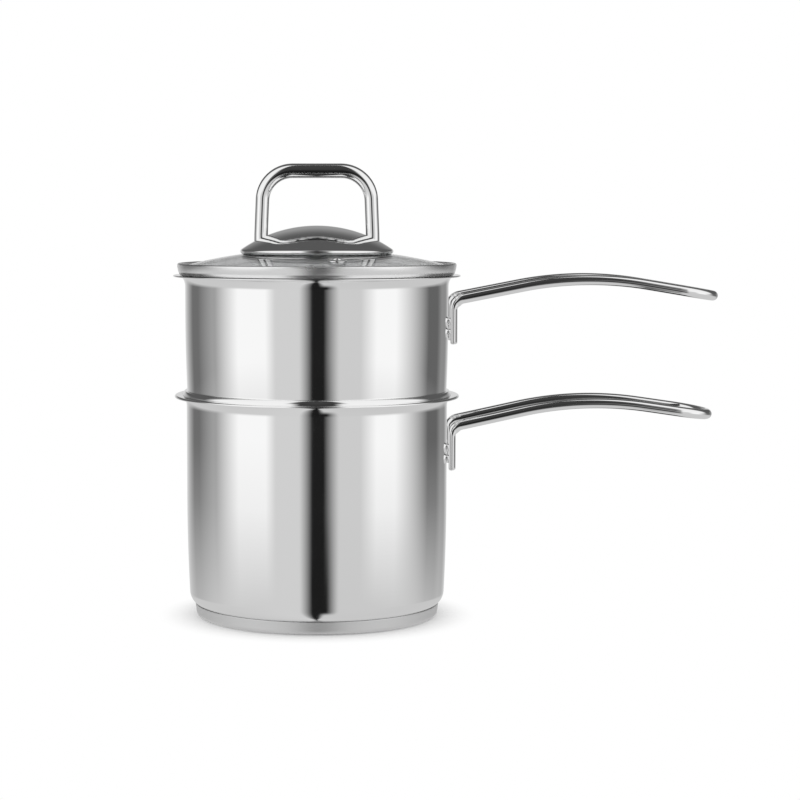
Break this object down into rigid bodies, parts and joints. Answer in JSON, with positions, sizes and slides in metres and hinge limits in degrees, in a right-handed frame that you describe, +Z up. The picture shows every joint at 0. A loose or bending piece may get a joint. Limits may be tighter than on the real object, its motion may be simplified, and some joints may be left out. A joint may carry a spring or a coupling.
{
  "type": "fondue pot",
  "caption": "Stovetop fondue set in polished steel: a pan with a nested upper pan, hairpin wire handles and a vented glass lid with a loop knob.",
  "frame": {"origin": "centre of the flat underside of the capsule base, on the surface that the pot stands on", "axes": "+Z up along the pans' common axis, +X from that axis towards the tips of the two wire handles, the lid's vent near -Y"},
  "size_m": [0.3358, 0.1772, 0.2794],
  "materials": {
    "polished_steel": "mirror-polished stainless steel",
    "satin_steel": "satin stainless steel",
    "core_aluminium": "mill finish, hidden",
    "clear_glass": "clear tempered glass",
    "silicone": "matt translucent silicone"
  },
  "bodies": {
    "lower_pan": {"lower_pan_shell": "polished_steel", "base_core": "core_aluminium", "base_cap": "satin_steel", "lower_handle": "polished_steel"},
    "upper_pan": {"upper_pan_shell": "polished_steel", "upper_handle": "polished_steel"},
    "lid": {"lid_glass": "clear_glass", "lid_band": "polished_steel", "vent_eyelet": "polished_steel", "knob_plate": "polished_steel", "knob_loop": "polished_steel", "knob_post": "polished_steel", "knob_gasket": "silicone", "knob_washer": "polished_steel", "knob_screw": "polished_steel"}
  },
  "joints": [
    {"name": "upper_pan_lift", "type": "slide", "parent": "lower_pan", "child": "upper_pan", "axis": [0, 0, 1], "range_m": [0, 0.15]},
    {"name": "lid_lift", "type": "slide", "parent": "upper_pan", "child": "lid", "axis": [0, 0, 1], "range_m": [0, 0.12]}
  ]
}
